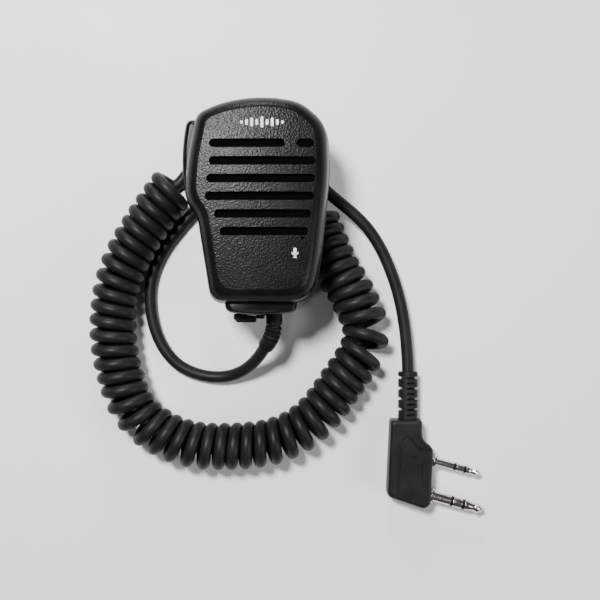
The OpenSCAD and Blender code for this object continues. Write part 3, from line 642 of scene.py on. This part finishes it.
class Look:
    """A material: its shader with fixed settings, and the nodes that vary it."""

    def __init__(self, name, **fixed):
        self.material = bpy.data.materials.new(name)
        self.material.use_nodes = True
        self.tree = self.material.node_tree
        self.shader = self.tree.nodes["Principled BSDF"]
        for label, value in fixed.items():
            self.shader.inputs[label.replace("_", " ")].default_value = value
        self.place = self.node("ShaderNodeTexCoord").outputs["Object"]

    def node(self, kind, settings=None, inputs=None):
        made = self.tree.nodes.new(kind)
        for label, value in (settings or {}).items():
            setattr(made, label, value)
        for label, value in (inputs or {}).items():
            self.feed(made.inputs[label], value)
        return made

    def feed(self, socket, value):
        if isinstance(value, Num):
            value = value.socket
        if isinstance(value, bpy.types.NodeSocket):
            self.tree.links.new(value, socket)
        else:
            socket.default_value = value

    def scaled(self, stretch):
        made = self.node("ShaderNodeVectorMath", {"operation": "MULTIPLY"}, {0: self.place, 1: stretch})
        return made.outputs[0]

    def noise(self, size, detail=3, stretch=(1, 1, 1)):
        """Soft noise with cells of that size in millimetres."""
        return Num(self, self.node("ShaderNodeTexNoise", None, {
            "Vector": self.scaled(stretch), "Scale": 1 / (size * MM), "Detail": detail}).outputs[0])

    def cells(self, size, feature="SMOOTH_F1"):
        """Distance to the middle of cells of that size in millimetres."""
        return Num(self, self.node("ShaderNodeTexVoronoi", {"feature": feature}, {
            "Vector": self.place, "Scale": 1 / (size * MM)}).outputs["Distance"])

    def waves(self, size, axis):
        """Bands that repeat every so many millimetres."""
        return Num(self, self.node("ShaderNodeTexWave", {"bands_direction": axis}, {
            "Vector": self.place, "Scale": 0.314 / (size * MM)}).outputs["Fac"])

    def height(self):
        """Height above the table in millimetres."""
        z = self.node("ShaderNodeSeparateXYZ", None, {0: self.place}).outputs["Z"]
        return Num(self, z) * (1 / MM)

    def edges(self):
        """1 on worn convex edges, 0 elsewhere."""
        return Num(self, self.node("ShaderNodeNewGeometry").outputs["Pointiness"]).ramp(0.53, 0.62)

    def mixed(self, share, a, b):
        """Colour a where share is 0 and b where it is 1."""
        mix = self.node("ShaderNodeMix", {"data_type": "RGBA"}, {"Factor": share})
        self.feed(mix.inputs["A"], a)
        self.feed(mix.inputs["B"], b)
        return mix.outputs["Result"]

    def color(self, value):
        self.feed(self.shader.inputs["Base Color"], value)

    def rough(self, value):
        self.feed(self.shader.inputs["Roughness"], value)

    def bump(self, height, depth):
        """Relief of that depth in millimetres."""
        made = self.node("ShaderNodeBump", None, {"Strength": 1.0, "Distance": depth * MM, "Height": height})
        self.feed(self.shader.inputs["Normal"], made.outputs["Normal"])


def grey(value, warm=0.0):
    return (value * (1 + warm), value, value * (1 - warm), 1)


def casing_look():
    look = Look("casing", Specular_IOR_Level=0.12)
    face = look.height().ramp(33.5, 37.6)
    leather = look.cells(0.5) * 0.8 + look.noise(0.3) * 0.4
    fine = look.noise(0.3)
    dust = look.noise(9, 6).ramp(0.5, 0.8)
    look.color(look.mixed(look.edges() * 0.5 + dust * 0.25, grey(0.004), grey(0.02)))
    look.rough(0.22 + look.noise(6) * 0.1 + face * 0.02)
    look.bump(face * leather + (1 - face) * fine * 0.12, 0.1)
    return look


def plain_look(name, low, high, roughness, relief, depth, warm=0.0, shine=0.14):
    """A moulded or pressed material: two tones in soft patches, worn edges, and a fine relief."""
    look = Look(name, Specular_IOR_Level=shine)
    patches = look.noise(7, 6).ramp(0.4, 0.75)
    look.color(look.mixed(patches * 0.6 + look.edges() * 0.4, grey(low, warm), grey(high, warm)))
    look.rough(roughness - 0.08 + look.noise(3, 5) * 0.16)
    look.bump(look.noise(relief, 4), depth)
    return look


def metal_look(name, tone, warm, roughness, stretch):
    look = Look(name, Metallic=1.0)
    marks = look.noise(0.6, 6, stretch)
    look.color(look.mixed(look.noise(3, 5).ramp(0.35, 0.8), grey(tone, warm), grey(tone * 0.8, warm)))
    look.rough(roughness - 0.05 + marks * 0.14)
    look.bump(marks, 0.004)
    return look


def cloth_look():
    look = Look("grille_fabric", Specular_IOR_Level=0.03)
    weave = look.waves(0.5, "X") * look.waves(0.5, "Y")
    look.color(look.mixed(weave, grey(0.0005), grey(0.003)))
    look.rough(0.85 - weave * 0.1)
    look.bump(weave, 0.1)
    return look


def board_look():
    look = Look("board_laminate")
    tracks = look.waves(1.6, "DIAGONAL").ramp(0.7, 0.75)
    look.color(look.mixed(tracks, (0.01, 0.09, 0.03, 1), (0.02, 0.16, 0.05, 1)))
    look.rough(0.3 + look.noise(1) * 0.15)
    look.bump(tracks, 0.03)
    return look


def colour_look(name, a, b, roughness):
    look = Look(name)
    look.color(look.mixed(look.noise(4, 5).ramp(0.3, 0.8), a, b))
    look.rough(roughness + look.noise(2, 4) * 0.15)
    look.bump(look.noise(0.4), 0.01)
    return look


looks = {
    "casing": casing_look(),
    "clip_plastic": plain_look("clip_plastic", 0.007, 0.02, 0.42, 0.3, 0.02),
    "rubber": plain_look("rubber", 0.005, 0.016, 0.5, 0.25, 0.02, 0.02),
    "cord_jacket": plain_look("cord_jacket", 0.007, 0.015, 0.46, 0.5, 0.02, 0.04),
    "plug_plastic": plain_look("plug_plastic", 0.006, 0.015, 0.45, 0.22, 0.035, 0.05),
    "core_plastic": plain_look("core_plastic", 0.03, 0.07, 0.45, 0.4, 0.02),
    "screw_steel": metal_look("screw_steel", 0.5, 0.0, 0.3, (1, 1, 6)),
    "contact_nickel": metal_look("contact_nickel", 0.72, 0.06, 0.16, (1, 5, 1)),
    "insulator": plain_look("insulator", 0.006, 0.012, 0.25, 0.4, 0.01),
    "grille_fabric": cloth_look(),
    "cone_paper": plain_look("cone_paper", 0.012, 0.04, 0.8, 0.3, 0.06, 0.05),
    "board_laminate": board_look(),
    "wire_insulation": colour_look("wire_insulation", (0.35, 0.02, 0.015, 1), (0.5, 0.05, 0.03, 1), 0.3),
    "plunger_plastic": colour_look("plunger_plastic", (0.6, 0.56, 0.46, 1), (0.75, 0.7, 0.6, 1), 0.35),
}
print_look = colour_look("white_print", (0.7, 0.7, 0.68, 1), (0.85, 0.85, 0.84, 1), 0.45)

slot_of = {s["node"]: s["material_slot"] for s in record["subparts"]}
EDGE = 0.14            # rounding of the CAD pieces' edges

for name, node in frame["nodes"].items():
    node.data.materials.clear()
    node.data.materials.append(looks[slot_of[name]].material)
    weld = node.modifiers.new("weld", "WELD")
    weld.merge_threshold = 0.002 * MM
    bevel = node.modifiers.new("edges", "BEVEL")
    bevel.width = EDGE * MM
    bevel.segments = 2
    bevel.limit_method = "ANGLE"
    bevel.angle_limit = math.radians(32)
    bevel.harden_normals = False

for mark in marks:
    mark.data.materials.append(print_look.material)
for piece in list(bpy.context.scene.objects):
    if "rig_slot" in piece:
        piece.data.materials.clear()
        piece.data.materials.append(looks[piece["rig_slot"]].material)

# ---- length of the cord, worked out and not kept ----

round(length_of(cord_line) * MM, 2)

# ---- studio ----

floor = mesh_piece("floor", [(-900, -900, 0), (900, -900, 0), (900, 900, 0), (-900, 900, 0)], [(0, 1, 2, 3)])
floor_look = Look("pale_table")
floor_look.color(floor_look.mixed(floor_look.noise(60, 4), grey(0.76), grey(0.8)))
floor_look.rough(0.4 + floor_look.noise(30, 4) * 0.15)
floor.data.materials.append(floor_look.material)


def soft_light(name, at, target, size, power):
    data = bpy.data.lights.new(name, "AREA")
    data.shape = "DISK"
    data.size = size * MM
    data.energy = power
    lamp = bpy.data.objects.new(name, data)
    lamp.location = Vector(at) * MM
    lamp.rotation_euler = (Vector(target) - Vector(at)).to_track_quat("-Z", "Y").to_euler()
    bpy.context.scene.collection.objects.link(lamp)


soft_light("key_light", (-175, 225, 700), (0, -20, 0), 150, 11.5)
soft_light("lamp_light", (-95, -75, 700), (0, -20, 0), 60, 0.3)
soft_light("back_light", (-60, 900, 330), (0, 0, 0), 300, 6)
soft_light("side_light", (620, -260, 420), (0, -30, 0), 400, 3)
world = bpy.data.worlds.new("studio")
world.use_nodes = True
world.node_tree.nodes["Background"].inputs["Color"].default_value = (0.9, 0.93, 1, 1)
world.node_tree.nodes["Background"].inputs["Strength"].default_value = 0.08
bpy.context.scene.world = world

bpy.context.view_layer.update()
